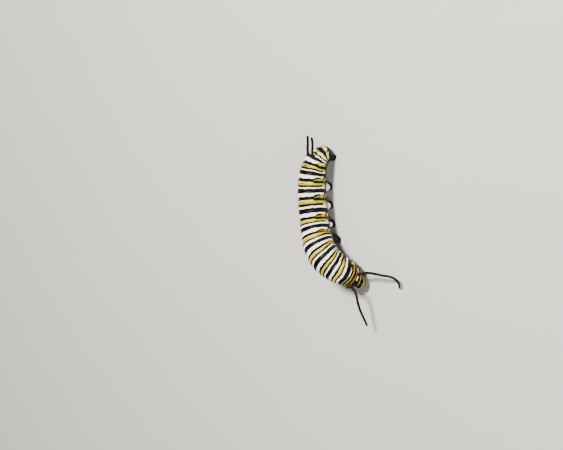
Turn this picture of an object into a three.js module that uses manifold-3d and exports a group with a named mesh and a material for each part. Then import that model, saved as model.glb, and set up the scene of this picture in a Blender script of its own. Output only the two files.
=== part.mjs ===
// Striped milkweed butterfly larva, standing on its prolegs. Millimetres, +Z up.
// The head points to -X and the larva's left side faces -Y.
import * as THREE from "three";
import Module from "manifold-3d";

const wasm = await Module();
wasm.setup();

// Driving sizes
const STAND_HEIGHT = 4.65;      // body axis above the floor at the middle of abdomen_5
const GAP = 0.3;                // clearance between neighbouring solids
const SIDES = 28;               // facets round the body
const BELLY_FLAT = 0.13;        // how much flatter the belly is than the back
const FOLD_DEPTH = 0.05;        // depth of the fold at each end of a segment, of the radius
const AXIS_STEPS = 40;          // axis steps per segment

// Body segments from the neck to the tail: length, then half width, turn to the larva's left,
// dip of the axis below level and lean of the back to the right, all at the segment's front edge
const SEGMENTS = [
  { name: "thorax_1", length: 0.95, radius: 2.0, turn: 15, dip: 50, lean: -10 },
  { name: "thorax_2", length: 1.7, radius: 2.6, turn: 25, dip: 40, lean: -15 },
  { name: "thorax_3", length: 2.45, radius: 3.15, turn: 35, dip: 35, lean: -15 },
  { name: "abdomen_1", length: 2.75, radius: 3.55, turn: 45, dip: 25, lean: -10 },
  { name: "abdomen_2", length: 3.6, radius: 3.85, turn: 45, dip: 5, lean: -5 },
  { name: "abdomen_3", length: 4.7, radius: 4.0, turn: 36, dip: -12, lean: 0 },
  { name: "abdomen_4", length: 5.0, radius: 3.9, turn: 12, dip: -12, lean: 5 },
  { name: "abdomen_5", length: 5.1, radius: 3.8, turn: -5, dip: 0, lean: 5 },
  { name: "abdomen_6", length: 4.65, radius: 3.7, turn: -10, dip: 0, lean: 5 },
  { name: "abdomen_7", length: 3.6, radius: 3.55, turn: -20, dip: 0, lean: 5 },
  { name: "abdomen_8", length: 2.75, radius: 3.2, turn: -30, dip: -15, lean: 5 },
  { name: "abdomen_9", length: 1.05, radius: 2.5, turn: -40, dip: -45, lean: 5 },
  { name: "abdomen_10", length: 1.6, radius: 2.1, turn: -45, dip: -55, lean: 5 },
];
const TAIL_END = { radius: 1.5, turn: -45, dip: -60, lean: 5 };

// Swell of the skin along one segment, front edge to rear edge
const SWELL = [
  { at: 0.0, swell: -1.0 },
  { at: 0.08, swell: -0.15 },
  { at: 0.22, swell: 0.25 },
  { at: 0.38, swell: -0.1 },
  { at: 0.52, swell: 0.2 },
  { at: 0.62, swell: 0.0 },
  { at: 0.78, swell: 0.25 },
  { at: 0.93, swell: -0.15 },
  { at: 1.0, swell: -1.0 },
];

// Legs
const PROLEG_AT = 0.52;         // place of a proleg along its segment
const PROLEG_SPREAD = 1.95;     // sole centre to the midline
const PROLEG_ROOT_SPREAD = 1.5;
const PROLEG_LONG = 0.92;       // half length of the sole along the body
const PROLEG_WIDE = 0.7;
const PROLEG_DROP = 0.45;       // top of a proleg below the axis, of the body's radius
const ANAL_AT = 12.2;           // place of the anal prolegs in segments from the neck
const ANAL_SPREAD = 1.75;
const ANAL_ROOT_SPREAD = 1.2;
const ANAL_AHEAD = 0.5;         // soles in front of that place
const ANAL_LONG = 0.85;
const ANAL_WIDE = 0.55;
const ANAL_DROP = 0.1;
const TRUE_LEGS = [
  { name: "t1", segment: 0, reach: 1.3, forward: 0.55, splay: 0.45 },
  { name: "t2", segment: 1, reach: 1.85, forward: 0.6, splay: 0.55 },
  { name: "t3", segment: 2, reach: 2.2, forward: 0.6, splay: 0.6 },
];

// Tentacles: root place along and round its segment, total length and root radius, then in
// degrees the heading to the larva's left at the root and along the middle, the turn of the last
// part and where along the length it starts, and the climb above level at the root and the end
const TENTACLES = [
  { name: "front_tentacle_left", segment: 1, at: 0.15, round: 58, length: 13.5, radius: 0.34,
    swing: 95, course: 70, curl: -105, curlFrom: 0.6, rise: 5, sink: -30 },
  { name: "front_tentacle_right", segment: 1, at: 0.15, round: -54, length: 13.0, radius: 0.34,
    swing: 90, course: -5, curl: 0, curlFrom: 0.6, rise: 20, sink: -25 },
  { name: "rear_tentacle_left", segment: 10, at: 0.4, round: 12, length: 5.5, radius: 0.29,
    swing: 155, course: 150, curl: 25, curlFrom: 0.5, rise: 20, sink: 10 },
  { name: "rear_tentacle_right", segment: 10, at: 0.4, round: -30, length: 5.2, radius: 0.29,
    swing: 155, course: 150, curl: 15, curlFrom: 0.5, rise: 20, sink: 10 },
];
const SWING_PART = 0.45;        // part of the length over which the heading at the root dies out
const SINK_PART = 0.8;          // part of the length over which the climb changes
const TENTACLE_BURIED = 0.8;    // part of a tentacle's length started under the skin
const TENTACLE_RINGS = 13;
const TENTACLE_SIDES = 8;

// Head
const HEAD_NOD = 14;            // extra dip of the head past the first segment
const HEAD_OUT = 0.9;           // head centre in front of the neck
const HEAD_WIDE = 1.68;
const HEAD_HIGH = 1.74;
const HEAD_DEEP = 1.25;

const rad = (degrees) => degrees * Math.PI / 180;
const vec = (x, y, z) => new THREE.Vector3(x, y, z);
const mix = (a, b, t) => a + (b - a) * t;

// Smooth rise from 0 at low to 1 at high
function easing(low, high, x) {
  const t = Math.min(Math.max((x - low) / (high - low), 0), 1);
  return t * t * (3 - 2 * t);
}

// Smooth run through values given at whole steps
function smooth(values, u) {
  const last = values.length - 1;
  const slope = (k) => {
    if (k === 0) return values[1] - values[0];
    if (k === last) return values[last] - values[last - 1];
    return (values[k + 1] - values[k - 1]) / 2;
  };
  const i = Math.min(Math.max(Math.floor(u), 0), last - 1);
  const t = u - i;
  const t2 = t * t;
  const t3 = t2 * t;
  return (2 * t3 - 3 * t2 + 1) * values[i] + (t3 - 2 * t2 + t) * slope(i)
    + (-2 * t3 + 3 * t2) * values[i + 1] + (t3 - t2) * slope(i + 1);
}

const column = (key) => [...SEGMENTS.map((s) => s[key]), TAIL_END[key]];
const TURN = column("turn");
const DIP = column("dip");
const LEAN = column("lean");
const RADIUS = column("radius");
const COUNT = SEGMENTS.length;

// Directions of the body at a place: forward, the larva's left, and its back
function directions(u) {
  const turn = rad(smooth(TURN, u));
  const dip = rad(smooth(DIP, u));
  const lean = rad(smooth(LEAN, u));
  const forward = vec(-Math.cos(dip) * Math.cos(turn), -Math.cos(dip) * Math.sin(turn), -Math.sin(dip));
  const level = vec(Math.sin(turn), -Math.cos(turn), 0);
  const upright = forward.clone().cross(level);
  const back = upright.clone().multiplyScalar(Math.cos(lean)).addScaledVector(level, -Math.sin(lean));
  const left = back.clone().cross(forward);
  return { forward, left, back };
}

// Axis points, run back from the neck and then set over the middle of abdomen_5
function axisPoints() {
  const points = [vec(0, 0, 0)];
  for (let i = 1; i <= COUNT * AXIS_STEPS; i += 1) {
    const step = SEGMENTS[Math.floor((i - 1) / AXIS_STEPS)].length / AXIS_STEPS;
    const before = directions((i - 1) / AXIS_STEPS).forward;
    const here = directions(i / AXIS_STEPS).forward;
    points.push(points[i - 1].clone().addScaledVector(before, -step / 2).addScaledVector(here, -step / 2));
  }
  const middle = points[7.5 * AXIS_STEPS].clone();
  middle.z -= STAND_HEIGHT;
  return points.map((p) => p.sub(middle));
}
const AXIS = axisPoints();

function axisAt(u) {
  const x = Math.min(Math.max(u, 0), COUNT) * AXIS_STEPS;
  const i = Math.min(Math.floor(x), AXIS.length - 2);
  return AXIS[i].clone().lerp(AXIS[i + 1], x - i);
}

// Half width of the cross-section at an angle from the middle of the back
function sectionFactor(angle) {
  const c = Math.cos(angle);
  return c < 0 ? 1 - BELLY_FLAT * c * c : 1;
}

// Half width along the axis, rounded off at the neck and at the tail
function bodyRadius(u) {
  let r = smooth(RADIUS, u);
  if (u < 0.3) r *= 0.86 + 0.14 * Math.sin((u / 0.3) * Math.PI / 2);
  if (u > 12) {
    const t = Math.min((u - 12) * 0.985, 1);
    r *= Math.sqrt(Math.max(1 - t ** 2.8, 0));
  }
  return r;
}

function bodyRing(u, swell, extra, along = 0) {
  const centre = axisAt(u);
  const { forward, left, back } = directions(u);
  centre.addScaledVector(forward, along);
  const r = bodyRadius(u) * (1 + swell * FOLD_DEPTH) + extra;
  const ring = [];
  for (let j = 0; j < SIDES; j += 1) {
    const angle = (2 * Math.PI * j) / SIDES;
    const reach = r * sectionFactor(angle);
    ring.push(centre.clone().addScaledVector(back, reach * Math.cos(angle))
      .addScaledVector(left, reach * Math.sin(angle)));
  }
  return ring;
}

// One closed solid from rings of equal count, capped at both ends
function loft(rings) {
  const n = rings[0].length;
  const vertices = rings.flat();
  const triangles = [];
  for (let i = 0; i + 1 < rings.length; i += 1) {
    for (let j = 0; j < n; j += 1) {
      const a = i * n + j;
      const b = i * n + ((j + 1) % n);
      triangles.push([a, b, b + n], [a, b + n, a + n]);
    }
  }
  const centre = (ring) => ring.reduce((s, p) => s.add(p), vec(0, 0, 0)).divideScalar(n);
  const first = vertices.length;
  vertices.push(centre(rings[0]), centre(rings[rings.length - 1]));
  const top = (rings.length - 1) * n;
  for (let j = 0; j < n; j += 1) {
    const next = (j + 1) % n;
    triangles.push([first, next, j], [first + 1, top + j, top + next]);
  }
  let volume = 0;
  for (const [a, b, c] of triangles) {
    volume += vertices[a].dot(vertices[b].clone().cross(vertices[c]));
  }
  const out = volume < 0 ? triangles.map(([a, b, c]) => [a, c, b]) : triangles;
  const geometry = new THREE.BufferGeometry();
  const coordinates = vertices.flatMap((v) => [v.x, v.y, v.z]);
  geometry.setAttribute("position", new THREE.Float32BufferAttribute(coordinates, 3));
  geometry.setIndex(out.flat());
  return geometry;
}

function toSolid(geometry) {
  return new wasm.Manifold(new wasm.Mesh({
    numProp: 3,
    vertProperties: new Float32Array(geometry.getAttribute("position").array),
    triVerts: new Uint32Array(geometry.getIndex().array),
  }));
}

// The largest closed piece of a solid, as a geometry
function fromSolid(solid) {
  const pieces = solid.decompose().sort((a, b) => b.volume() - a.volume());
  const mesh = pieces[0].getMesh();
  const geometry = new THREE.BufferGeometry();
  geometry.setAttribute("position", new THREE.Float32BufferAttribute(mesh.vertProperties, 3));
  geometry.setIndex(new THREE.Uint32BufferAttribute(mesh.triVerts, 1));
  return geometry;
}

const group = new THREE.Group();
const materials = {
  skin: { color: 0xe6dfc4, roughness: 0.5, metalness: 0 },
  black: { color: 0x15130f, roughness: 0.42, metalness: 0 },
  head: { color: 0xd9c65a, roughness: 0.3, metalness: 0 },
};

function add(name, geometry, material) {
  geometry.computeVertexNormals();
  const mesh = new THREE.Mesh(geometry, new THREE.MeshStandardMaterial(materials[material]));
  mesh.name = name;
  group.add(mesh);
}

// Body segments, each with a fold at both ends and low swellings between
SEGMENTS.forEach((segment, k) => {
  const inset = GAP / 2 / segment.length;
  const rings = SWELL.map(({ at, swell }) => bodyRing(k + mix(inset, k === COUNT - 1 ? 1 : 1 - inset, at),
    k === COUNT - 1 && at > 0.5 ? 0 : swell, 0));
  add(segment.name, loft(rings), "skin");
});

// The body with clearance all round, which trims everything that grows from it
const coatRings = [bodyRing(0, 0, GAP, GAP)];
for (let u = 0; u < COUNT; u += 0.25) {
  coatRings.push(bodyRing(u, 0, GAP, 0));
}
coatRings.push(bodyRing(COUNT, 0, GAP, -GAP));
const bodyCoat = toSolid(loft(coatRings));

function trimmed(rings, cutter = bodyCoat) {
  return fromSolid(toSolid(loft(rings)).subtract(cutter));
}

function ellipseRing(centre, axisA, axisB, halfA, halfB, sides) {
  const ring = [];
  for (let j = 0; j < sides; j += 1) {
    const angle = (2 * Math.PI * j) / sides;
    ring.push(centre.clone().addScaledVector(axisA, halfA * Math.cos(angle))
      .addScaledVector(axisB, halfB * Math.sin(angle)));
  }
  return ring;
}

// Prolegs: stout pads with flat soles on the floor
function proleg(u, side, spread, rootSpread, long, wide, lead, drop) {
  const base = axisAt(u);
  const { forward } = directions(u);
  const ahead = vec(forward.x, forward.y, 0).normalize();
  const out = vec(-ahead.y, ahead.x, 0).multiplyScalar(side);
  const top = base.z - drop * bodyRadius(u);
  const shape = [
    { at: 0.0, long: 0.8, wide: 0.78 },
    { at: 0.05, long: 1.0, wide: 1.0 },
    { at: 0.2, long: 1.04, wide: 1.06 },
    { at: 0.4, long: 1.0, wide: 1.0 },
    { at: 0.7, long: 1.18, wide: 1.25 },
    { at: 1.0, long: 1.3, wide: 1.4 },
  ];
  return shape.map((s) => {
    const centre = vec(base.x, base.y, top * s.at)
      .addScaledVector(out, mix(spread, rootSpread, s.at))
      .addScaledVector(ahead, lead);
    return ellipseRing(centre, ahead, out, long * s.long, wide * s.wide, 16);
  });
}

for (const segment of [3, 4, 5, 6]) {
  for (const [word, side] of [["left", 1], ["right", -1]]) {
    const rings = proleg(segment + 2 + PROLEG_AT, side, PROLEG_SPREAD, PROLEG_ROOT_SPREAD,
      PROLEG_LONG, PROLEG_WIDE, 0, PROLEG_DROP);
    add(`proleg_a${segment}_${word}`, trimmed(rings), "black");
  }
}
for (const [word, side] of [["left", 1], ["right", -1]]) {
  const rings = proleg(ANAL_AT, side, ANAL_SPREAD, ANAL_ROOT_SPREAD,
    ANAL_LONG, ANAL_WIDE, ANAL_AHEAD, ANAL_DROP);
  add(`anal_proleg_${word}`, trimmed(rings), "black");
}

// A round limb through a list of points with a radius at each
function limb(points, radii, sides) {
  return points.map((p, i) => {
    const before = points[Math.max(i - 1, 0)];
    const after = points[Math.min(i + 1, points.length - 1)];
    const along = after.clone().sub(before).normalize();
    const helper = Math.abs(along.z) < 0.9 ? vec(0, 0, 1) : vec(1, 0, 0);
    const a = helper.clone().cross(along).normalize();
    const b = along.clone().cross(a);
    return ellipseRing(p, a, b, radii[i], radii[i], sides);
  });
}

// True legs on the three thorax segments, ending in a small claw
for (const leg of TRUE_LEGS) {
  const u = leg.segment + 0.5;
  const base = axisAt(u);
  const { forward, left, back } = directions(u);
  const r = bodyRadius(u);
  for (const [word, side] of [["left", 1], ["right", -1]]) {
    const place = (ahead, out, down) => base.clone().addScaledVector(forward, ahead)
      .addScaledVector(left, side * (0.46 * r + out)).addScaledVector(back, -0.6 * r - down);
    const points = [
      place(-0.1, -0.1, -0.3),
      place(0.0, 0.1, 0.25),
      place(0.2 * leg.forward, leg.splay, 0.3 + 0.3 * leg.reach),
      place(0.65 * leg.forward, 0.7 * leg.splay, 0.3 + 0.65 * leg.reach),
      place(leg.forward, 0.25 * leg.splay, 0.3 + 0.92 * leg.reach),
      place(leg.forward + 0.12, -0.05, 0.3 + leg.reach + 0.08),
    ];
    add(`leg_${leg.name}_${word}`, trimmed(limb(points, [0.66, 0.6, 0.5, 0.38, 0.27, 0.09], 10)), "black");
  }
}

// Tentacles
function tentaclePoints(t) {
  const u = t.segment + t.at;
  const { left, back } = directions(u);
  const angle = rad(t.round);
  const normal = back.clone().multiplyScalar(Math.cos(angle)).addScaledVector(left, Math.sin(angle));
  const root = axisAt(u).addScaledVector(normal, bodyRadius(u));
  const points = [root.clone().addScaledVector(normal, -TENTACLE_BURIED), root];
  const steps = TENTACLE_RINGS - 2;
  for (let i = 0; i < steps; i += 1) {
    const place = (i + 0.5) / steps;
    const bent = t.curl * easing(t.curlFrom, 1, place);
    const heading = rad(mix(t.swing, t.course, easing(0, SWING_PART, place)) + bent);
    const climb = rad(mix(t.rise, t.sink, easing(0, SINK_PART, place)));
    const level = Math.cos(climb);
    const along = vec(-level * Math.cos(heading), -level * Math.sin(heading), Math.sin(climb));
    points.push(points[points.length - 1].clone().addScaledVector(along, t.length / steps));
  }
  return points;
}

for (const t of TENTACLES) {
  const points = tentaclePoints(t);
  const radii = points.map((p, i) => {
    const place = Math.max(i - 1, 0) / (points.length - 2);
    return place > 0.99 ? 0.14 : mix(t.radius, 0.25, place ** 0.7);
  });
  add(t.name, trimmed(limb(points, radii, TENTACLE_SIDES)), "black");
}

// Head frame
const neck = axisAt(0);
const neckWays = directions(0);
const nod = rad(HEAD_NOD);
const face = neckWays.forward.clone().multiplyScalar(Math.cos(nod))
  .addScaledVector(neckWays.back, -Math.sin(nod));
const crown = neckWays.back.clone().multiplyScalar(Math.cos(nod))
  .addScaledVector(neckWays.forward, Math.sin(nod));
const cheek = neckWays.left.clone();
const headCentre = neck.clone().addScaledVector(neckWays.forward, HEAD_OUT);
const headPoint = (x, y, z) => headCentre.clone().addScaledVector(face, x)
  .addScaledVector(cheek, y).addScaledVector(crown, z);

// Round capsule with a cleft over the top of the head and a flatter face
function headRings(extra) {
  const rings = [];
  const steps = 11;
  for (let i = 0; i <= steps; i += 1) {
    const t = mix(-0.96, 0.97, i / steps);
    const round = Math.sqrt(1 - Math.abs(t) ** 2.4);
    const ring = [];
    for (let j = 0; j < 24; j += 1) {
      const angle = (2 * Math.PI * j) / 24;
      const c = Math.cos(angle);
      const cleft = 1 - 0.07 * Math.exp(-((Math.min(angle, 2 * Math.PI - angle) / 0.28) ** 2));
      const jaw = c < 0 ? 1 - 0.1 * c * c : 1;
      ring.push(headPoint(t * (HEAD_DEEP + extra),
        (HEAD_WIDE * round * jaw + extra) * Math.sin(angle),
        (HEAD_HIGH * round * cleft + extra) * c));
    }
    rings.push(ring);
  }
  return rings;
}
add("head", trimmed(headRings(0)), "head");
const headCoat = toSolid(loft(headRings(GAP))).add(bodyCoat);

// Mouthparts and antennae under the face
function bead(centre, halfFace, halfCheek, halfCrown, sides, layers) {
  const rings = [];
  for (let i = 0; i <= layers; i += 1) {
    const t = mix(-0.94, 0.94, i / layers);
    const round = Math.sqrt(1 - t * t);
    rings.push(ellipseRing(centre.clone().addScaledVector(crown, halfCrown * t), face, cheek,
      halfFace * round, halfCheek * round, sides));
  }
  return rings;
}
add("labrum", trimmed(bead(headPoint(0.72, 0, -1.62), 0.46, 0.58, 0.5, 12, 6), headCoat), "black");
for (const [word, side] of [["left", 1], ["right", -1]]) {
  const jawCentre = headPoint(0.35, side * 0.52, -1.92);
  add(`mandible_${word}`, trimmed(bead(jawCentre, 0.42, 0.38, 0.52, 12, 6), headCoat), "black");
  const horn = [
    headPoint(0.4, side * 0.95, -0.85),
    headPoint(0.55, side * 1.18, -1.15),
    headPoint(0.7, side * 1.4, -1.45),
    headPoint(0.82, side * 1.54, -1.7),
    headPoint(0.9, side * 1.6, -1.88),
  ];
  add(`antenna_${word}`, trimmed(limb(horn, [0.3, 0.3, 0.28, 0.24, 0.1], 8), headCoat), "black");
}

// Origin at the middle of the footprint, floor at z = 0
const box = new THREE.Box3().setFromObject(group);
const shift = vec(-(box.min.x + box.max.x) / 2, -(box.min.y + box.max.y) / 2, -box.min.z);
group.children.forEach((mesh) => mesh.geometry.translate(shift.x, shift.y, shift.z));

export default group;
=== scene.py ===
# Monarch larva on a pale floor. Lengths are millimetres until a mesh is made, then metres.
# +Z is up, the head points to -X and the larva's left side faces -Y.
import math

import bpy
import numpy as np
from mathutils import Matrix, Vector


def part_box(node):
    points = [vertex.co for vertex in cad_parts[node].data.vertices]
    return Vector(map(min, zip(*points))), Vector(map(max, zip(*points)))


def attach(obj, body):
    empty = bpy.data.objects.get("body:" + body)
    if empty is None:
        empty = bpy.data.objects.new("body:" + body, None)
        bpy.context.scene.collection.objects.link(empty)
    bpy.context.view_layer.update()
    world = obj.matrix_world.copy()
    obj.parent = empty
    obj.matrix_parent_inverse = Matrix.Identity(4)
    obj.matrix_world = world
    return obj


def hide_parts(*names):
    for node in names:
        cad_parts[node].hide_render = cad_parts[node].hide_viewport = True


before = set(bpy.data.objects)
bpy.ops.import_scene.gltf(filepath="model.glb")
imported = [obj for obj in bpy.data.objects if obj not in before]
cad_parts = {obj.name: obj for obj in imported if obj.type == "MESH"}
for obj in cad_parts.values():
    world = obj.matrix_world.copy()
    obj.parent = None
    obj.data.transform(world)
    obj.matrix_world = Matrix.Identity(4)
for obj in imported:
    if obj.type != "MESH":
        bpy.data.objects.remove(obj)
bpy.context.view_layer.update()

MM = 0.001

# Body segments from the neck to the tail: length, then half width, turn to the larva's left,
# dip of the axis below level and lean of the back to the right, all at the segment's front edge
SEGMENTS = [
    ("thorax_1", 0.95, 2.0, 15, 50, -10),
    ("thorax_2", 1.7, 2.6, 25, 40, -15),
    ("thorax_3", 2.45, 3.15, 35, 35, -15),
    ("abdomen_1", 2.75, 3.55, 45, 25, -10),
    ("abdomen_2", 3.6, 3.85, 45, 5, -5),
    ("abdomen_3", 4.7, 4.0, 36, -12, 0),
    ("abdomen_4", 5.0, 3.9, 12, -12, 5),
    ("abdomen_5", 5.1, 3.8, -5, 0, 5),
    ("abdomen_6", 4.65, 3.7, -10, 0, 5),
    ("abdomen_7", 3.6, 3.55, -20, 0, 5),
    ("abdomen_8", 2.75, 3.2, -30, -15, 5),
    ("abdomen_9", 1.05, 2.5, -40, -45, 5),
    ("abdomen_10", 1.6, 2.1, -45, -55, 5),
]
TAIL_END = ("tail_end", 0.0, 1.5, -45, -60, 5)
STAND_HEIGHT = 4.65  # body axis above the floor at the middle of abdomen_5
MIDDLE = 7.5  # place of that middle, in segments from the neck
BELLY_FLAT = 0.13  # how much flatter the belly is than the back
TAIL_PLACE = 12  # where the tail starts to round off, in segments from the neck
TAIL_POWER = 2.8  # how square the tail's end is
NECK_PLACE = 0.3  # part of the first segment over which the neck widens
NECK_NARROW = 0.14  # how much narrower the skin is at the neck's edge

# Camera, as the photograph sees the larva
CAMERA_ELEVATION = 45.0  # degrees above the floor
CAMERA_ROLL = 10.5  # turn of the larva's length in the picture
PHOTO_SIZE = (563, 450)
PIXELS_PER_MM = 4.03
MIDDLE_PIXEL = (313.4, 207.6)  # where the middle of abdomen_5's axis shows
LENS = 85.0
SENSOR = 36.0

# Fineness of the skin mesh
RING_STEP = 0.066
RINGS_AROUND = 300

NAMES = [row[0] for row in SEGMENTS]
LENGTHS = np.array([row[1] for row in SEGMENTS])
TABLE = np.array([row[2:] for row in SEGMENTS + [TAIL_END]], float)
RADIUS, TURN, DIP, LEAN = TABLE.T
COUNT = len(SEGMENTS)
BOTH_SIDES = (("left", 1), ("right", -1))
STARTS = np.concatenate([[0.0], np.cumsum(LENGTHS)])  # distance of each front edge from the neck


# Small helpers
def smooth(values, u):
    """Smooth run through values given at whole steps."""
    slope = np.gradient(values)
    i = np.clip(np.floor(u).astype(int), 0, len(values) - 2)
    t = u - i
    return ((2 * t**3 - 3 * t**2 + 1) * values[i] + (t**3 - 2 * t**2 + t) * slope[i]
            + (-2 * t**3 + 3 * t**2) * values[i + 1] + (t**3 - t**2) * slope[i + 1])


def step(low, high, x):
    """Smooth rise from 0 at low to 1 at high."""
    t = np.clip((x - low) / (high - low), 0, 1)
    return t * t * (3 - 2 * t)


def bump(x, middle, width):
    """Bell of height 1 at its middle."""
    return np.exp(-(((x - middle) / width) ** 2))


CORNER = 0.1  # mm over which the corners of a mark are rounded


def soft_min(a, b):
    """The smaller of two values, rounded off where they are close."""
    h = np.clip(0.5 + 0.5 * (b - a) / CORNER, 0, 1)
    return b + (a - b) * h - CORNER * h * (1 - h)


def inside(*distances):
    """Depth inside a shape that each of these edges bounds."""
    depth = distances[0]
    for other in distances[1:]:
        depth = soft_min(depth, other)
    return depth


def look_up(table, x, theta):
    """Values of a table between its rows at x, and round the body at theta."""
    rows, waves = table.shape
    y = (theta / (2 * np.pi) % 1) * waves
    x = np.clip(x, 0, rows - 1.001)
    i = np.floor(x).astype(int)
    j = np.floor(y).astype(int) % waves
    a = step(0, 1, x - i)
    b = step(0, 1, y - np.floor(y))
    near = table[i, j] * (1 - b) + table[i, (j + 1) % waves] * b
    far = table[i + 1, j] * (1 - b) + table[i + 1, (j + 1) % waves] * b
    return near * (1 - a) + far * a


RIPPLE_REACH = 60  # mm of length that the random waves cover
RIPPLE_MARGIN = 2  # rows of waves in front of the neck


def ripple(along, theta, length, waves, seed):
    """Seeded random waves, about -1 to 1: length in mm along the body, waves round it."""
    rows = int(np.ceil(RIPPLE_REACH / length)) + 2 * RIPPLE_MARGIN
    table = np.random.default_rng(seed).uniform(-1, 1, (rows, waves))
    return look_up(table, along / length + RIPPLE_MARGIN, theta)


def circle(count):
    """Evenly spaced angles round a ring."""
    return np.linspace(0, 2 * np.pi, count + 1)[:-1]


def from_back(theta):
    """Angle from the middle of the back, the same on both sides."""
    return np.abs((theta + np.pi) % (2 * np.pi) - np.pi)


# Body axis and cross-sections
def directions(u):
    """Forward, the larva's left and its back, at u segments from the neck."""
    turn = np.radians(smooth(TURN, u))
    dip = np.radians(smooth(DIP, u))
    lean = np.radians(smooth(LEAN, u))[..., None]
    forward = np.stack([-np.cos(dip) * np.cos(turn), -np.cos(dip) * np.sin(turn), -np.sin(dip)], -1)
    level = np.stack([np.sin(turn), -np.cos(turn), 0 * turn], -1)
    upright = np.cross(forward, level)
    back = upright * np.cos(lean) - level * np.sin(lean)
    left = np.cross(back, forward)
    return forward, left, back


AXIS_STEPS = 400


def axis_points():
    """Axis points, run back from the neck and then set over the middle of abdomen_5."""
    u = np.arange(COUNT * AXIS_STEPS + 1) / AXIS_STEPS
    forward = directions(u)[0]
    steps = LENGTHS[np.arange(COUNT * AXIS_STEPS) // AXIS_STEPS] / AXIS_STEPS
    moves = -(forward[:-1] + forward[1:]) / 2 * steps[:, None]
    points = np.concatenate([np.zeros((1, 3)), np.cumsum(moves, 0)])
    return points - points[int(MIDDLE * AXIS_STEPS)] + [0, 0, STAND_HEIGHT]


AXIS = axis_points()


def axis_at(u):
    x = np.clip(u, 0, COUNT) * AXIS_STEPS
    return np.stack([np.interp(x, np.arange(len(AXIS)), AXIS[:, k]) for k in range(3)], -1)


def section_factor(theta):
    """Half width of the cross-section at an angle from the middle of the back."""
    c = np.cos(theta)
    return np.where(c < 0, 1 - BELLY_FLAT * c * c, 1.0)


def body_radius(u):
    """Half width along the axis, rounded off at the neck and at the tail."""
    from_neck = np.clip(u, 0, NECK_PLACE) / NECK_PLACE
    neck = 1 - NECK_NARROW * (1 - np.sin(from_neck * np.pi / 2))
    t = np.clip(u - TAIL_PLACE, 0, 1)
    return smooth(RADIUS, u) * neck * np.sqrt(np.clip(1 - t**TAIL_POWER, 0, 1))


def surface(u, theta, lift):
    """Points on the body at u segments from the neck and theta round from the middle of the back."""
    left, back = directions(u)[1:]
    reach = (body_radius(u) * section_factor(theta) + lift)[..., None]
    way = np.cos(theta)[..., None] * back + np.sin(theta)[..., None] * left
    return axis_at(u) + reach * way


def frame_shift():
    """What moves the middle of abdomen_5 to the middle of its solid in the frame."""
    segment_part = np.linspace(MIDDLE - 0.4, MIDDLE + 0.4, 41)
    u, theta = np.meshgrid(segment_part, circle(56), indexing="ij")
    points = surface(u, theta, 0)
    low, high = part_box("abdomen_5")
    middle = (np.array(low) + np.array(high)) / 2 / MM
    shift = middle - (points.reshape(-1, 3).min(0) + points.reshape(-1, 3).max(0)) / 2
    return np.array([shift[0], shift[1], 0.0])


AXIS = AXIS + frame_shift()


# Materials
NOISE_ROUGHNESS = 0.55


class Paint:
    """A node material built from short calls that return sockets."""

    def __init__(self, name):
        self.material = bpy.data.materials.new(name)
        self.material.use_nodes = True
        self.tree = self.material.node_tree
        self.shader = self.tree.nodes["Principled BSDF"]
        self.place = self.node("ShaderNodeTexCoord").outputs["Object"]

    def node(self, kind, **settings):
        made = self.tree.nodes.new(kind)
        for key, value in settings.items():
            setattr(made, key, value)
        return made

    def put(self, socket, value):
        if isinstance(value, bpy.types.NodeSocket):
            self.tree.links.new(value, socket)
        else:
            socket.default_value = value

    def attribute(self, name):
        return self.node("ShaderNodeAttribute", attribute_name=name).outputs["Fac"]

    def noise(self, size, detail=3.0):
        """Random pattern with features of about this size in mm."""
        made = self.node("ShaderNodeTexNoise")
        self.put(made.inputs["Vector"], self.place)
        made.inputs["Scale"].default_value = 0.5 / (size * MM)
        made.inputs["Detail"].default_value = detail
        made.inputs["Roughness"].default_value = NOISE_ROUGHNESS
        return made.outputs["Fac"]

    def varied(self, size, amount):
        """Random offset of up to half the amount either way."""
        return self.math("MULTIPLY", self.math("SUBTRACT", self.noise(size), 0.5), amount)

    def math(self, operation, a, b):
        made = self.node("ShaderNodeMath", operation=operation)
        self.put(made.inputs[0], a)
        self.put(made.inputs[1], b)
        return made.outputs[0]

    def range(self, value, low, high, to_low=0.0, to_high=1.0):
        """Smooth change from one value to another as the input runs from low to high."""
        made = self.node("ShaderNodeMapRange", interpolation_type="SMOOTHSTEP")
        for socket, v in zip(made.inputs, (value, low, high, to_low, to_high)):
            self.put(socket, v)
        return made.outputs[0]

    def ramp(self, value, stops):
        made = self.node("ShaderNodeValToRGB")
        ramp = made.color_ramp
        while len(ramp.elements) < len(stops):
            ramp.elements.new(0.5)
        for element, (at, colour) in zip(ramp.elements, stops):
            element.position = at
            element.color = (*colour, 1)
        self.put(made.inputs[0], value)
        return made.outputs[0]

    def mix(self, share, a, b):
        made = self.node("ShaderNodeMix", data_type="RGBA")
        for socket, v in ((made.inputs[0], share), (made.inputs[6], a), (made.inputs[7], b)):
            self.put(socket, (*v, 1) if isinstance(v, tuple) else v)
        return made.outputs[2]

    def bump(self, height, depth, under=None):
        """Relief of this depth in mm."""
        made = self.node("ShaderNodeBump")
        made.inputs["Strength"].default_value = 1.0
        made.inputs["Distance"].default_value = depth * MM
        self.put(made.inputs["Height"], height)
        if under:
            self.put(made.inputs["Normal"], under)
        return made.outputs[0]

    def finish(self, colour, roughness, normal=None, gloss=0.5):
        self.shader.inputs["Specular IOR Level"].default_value = gloss
        self.put(self.shader.inputs["Base Color"], colour)
        self.put(self.shader.inputs["Roughness"], roughness)
        if normal:
            self.put(self.shader.inputs["Normal"], normal)
        return self.material


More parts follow.
